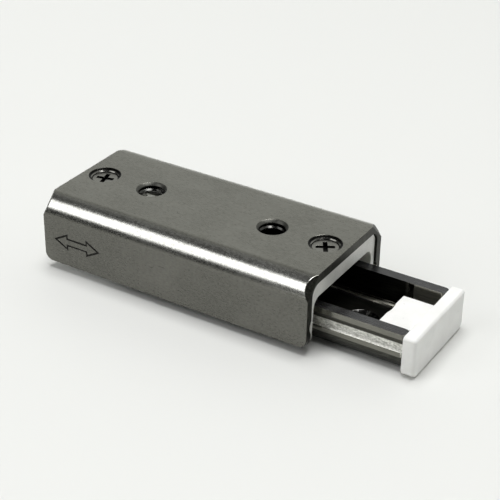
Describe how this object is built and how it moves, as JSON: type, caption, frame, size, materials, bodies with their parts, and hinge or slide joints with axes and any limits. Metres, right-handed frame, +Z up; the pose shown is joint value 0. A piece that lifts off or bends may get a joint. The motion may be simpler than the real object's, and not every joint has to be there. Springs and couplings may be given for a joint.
{
  "type": "miniature linear slide unit",
  "caption": "Limited-stroke ball slide: a formed steel table with tapped holes rides on ball rows over a formed steel bed with resin stoppers.",
  "frame": {"origin": "centre of the bed's flat bottom face", "axes": "+X along the travel, towards the end where the bed stands out of the table at rest; +Z up from the bed to the table; +Y across"},
  "size_m": [0.0466, 0.0168, 0.0091],
  "materials": {
    "satin_steel": "satin",
    "ground_steel": "ground",
    "screw_steel": "satin",
    "cage_steel": "satin",
    "ball_steel": "polished",
    "grey_resin": "moulded",
    "white_resin": "moulded"
  },
  "bodies": {
    "bed_body": {"bed": "ground_steel", "stopper_cap_front": "white_resin", "stopper_cap_rear": "white_resin", "cap_screw_front": "screw_steel", "cap_screw_rear": "screw_steel"},
    "table_body": {"table": "satin_steel", "end_plate_front": "grey_resin", "end_plate_rear": "grey_resin", "end_screw_front": "screw_steel", "end_screw_rear": "screw_steel"},
    "cage_left_body": {"cage_left": "cage_steel", "ball_left_1": "ball_steel", "ball_left_2": "ball_steel", "ball_left_3": "ball_steel", "ball_left_4": "ball_steel", "ball_left_5": "ball_steel", "ball_left_6": "ball_steel"},
    "cage_right_body": {"cage_right": "cage_steel", "ball_right_1": "ball_steel", "ball_right_2": "ball_steel", "ball_right_3": "ball_steel", "ball_right_4": "ball_steel", "ball_right_5": "ball_steel", "ball_right_6": "ball_steel"}
  },
  "joints": [
    {"name": "table_slide", "type": "slide", "parent": "bed_body", "child": "table_body", "axis": [1, 0, 0], "range_m": [-0.002, 0.022]},
    {"name": "cage_left_slide", "type": "slide", "parent": "bed_body", "child": "cage_left_body", "axis": [1, 0, 0], "range_m": [-0.001, 0.011]},
    {"name": "cage_right_slide", "type": "slide", "parent": "bed_body", "child": "cage_right_body", "axis": [1, 0, 0], "range_m": [-0.001, 0.011]}
  ],
  "couplings": [
    {"joint": "cage_left_slide", "follows": "table_slide", "ratio": 0.5},
    {"joint": "cage_right_slide", "follows": "table_slide", "ratio": 0.5}
  ]
}
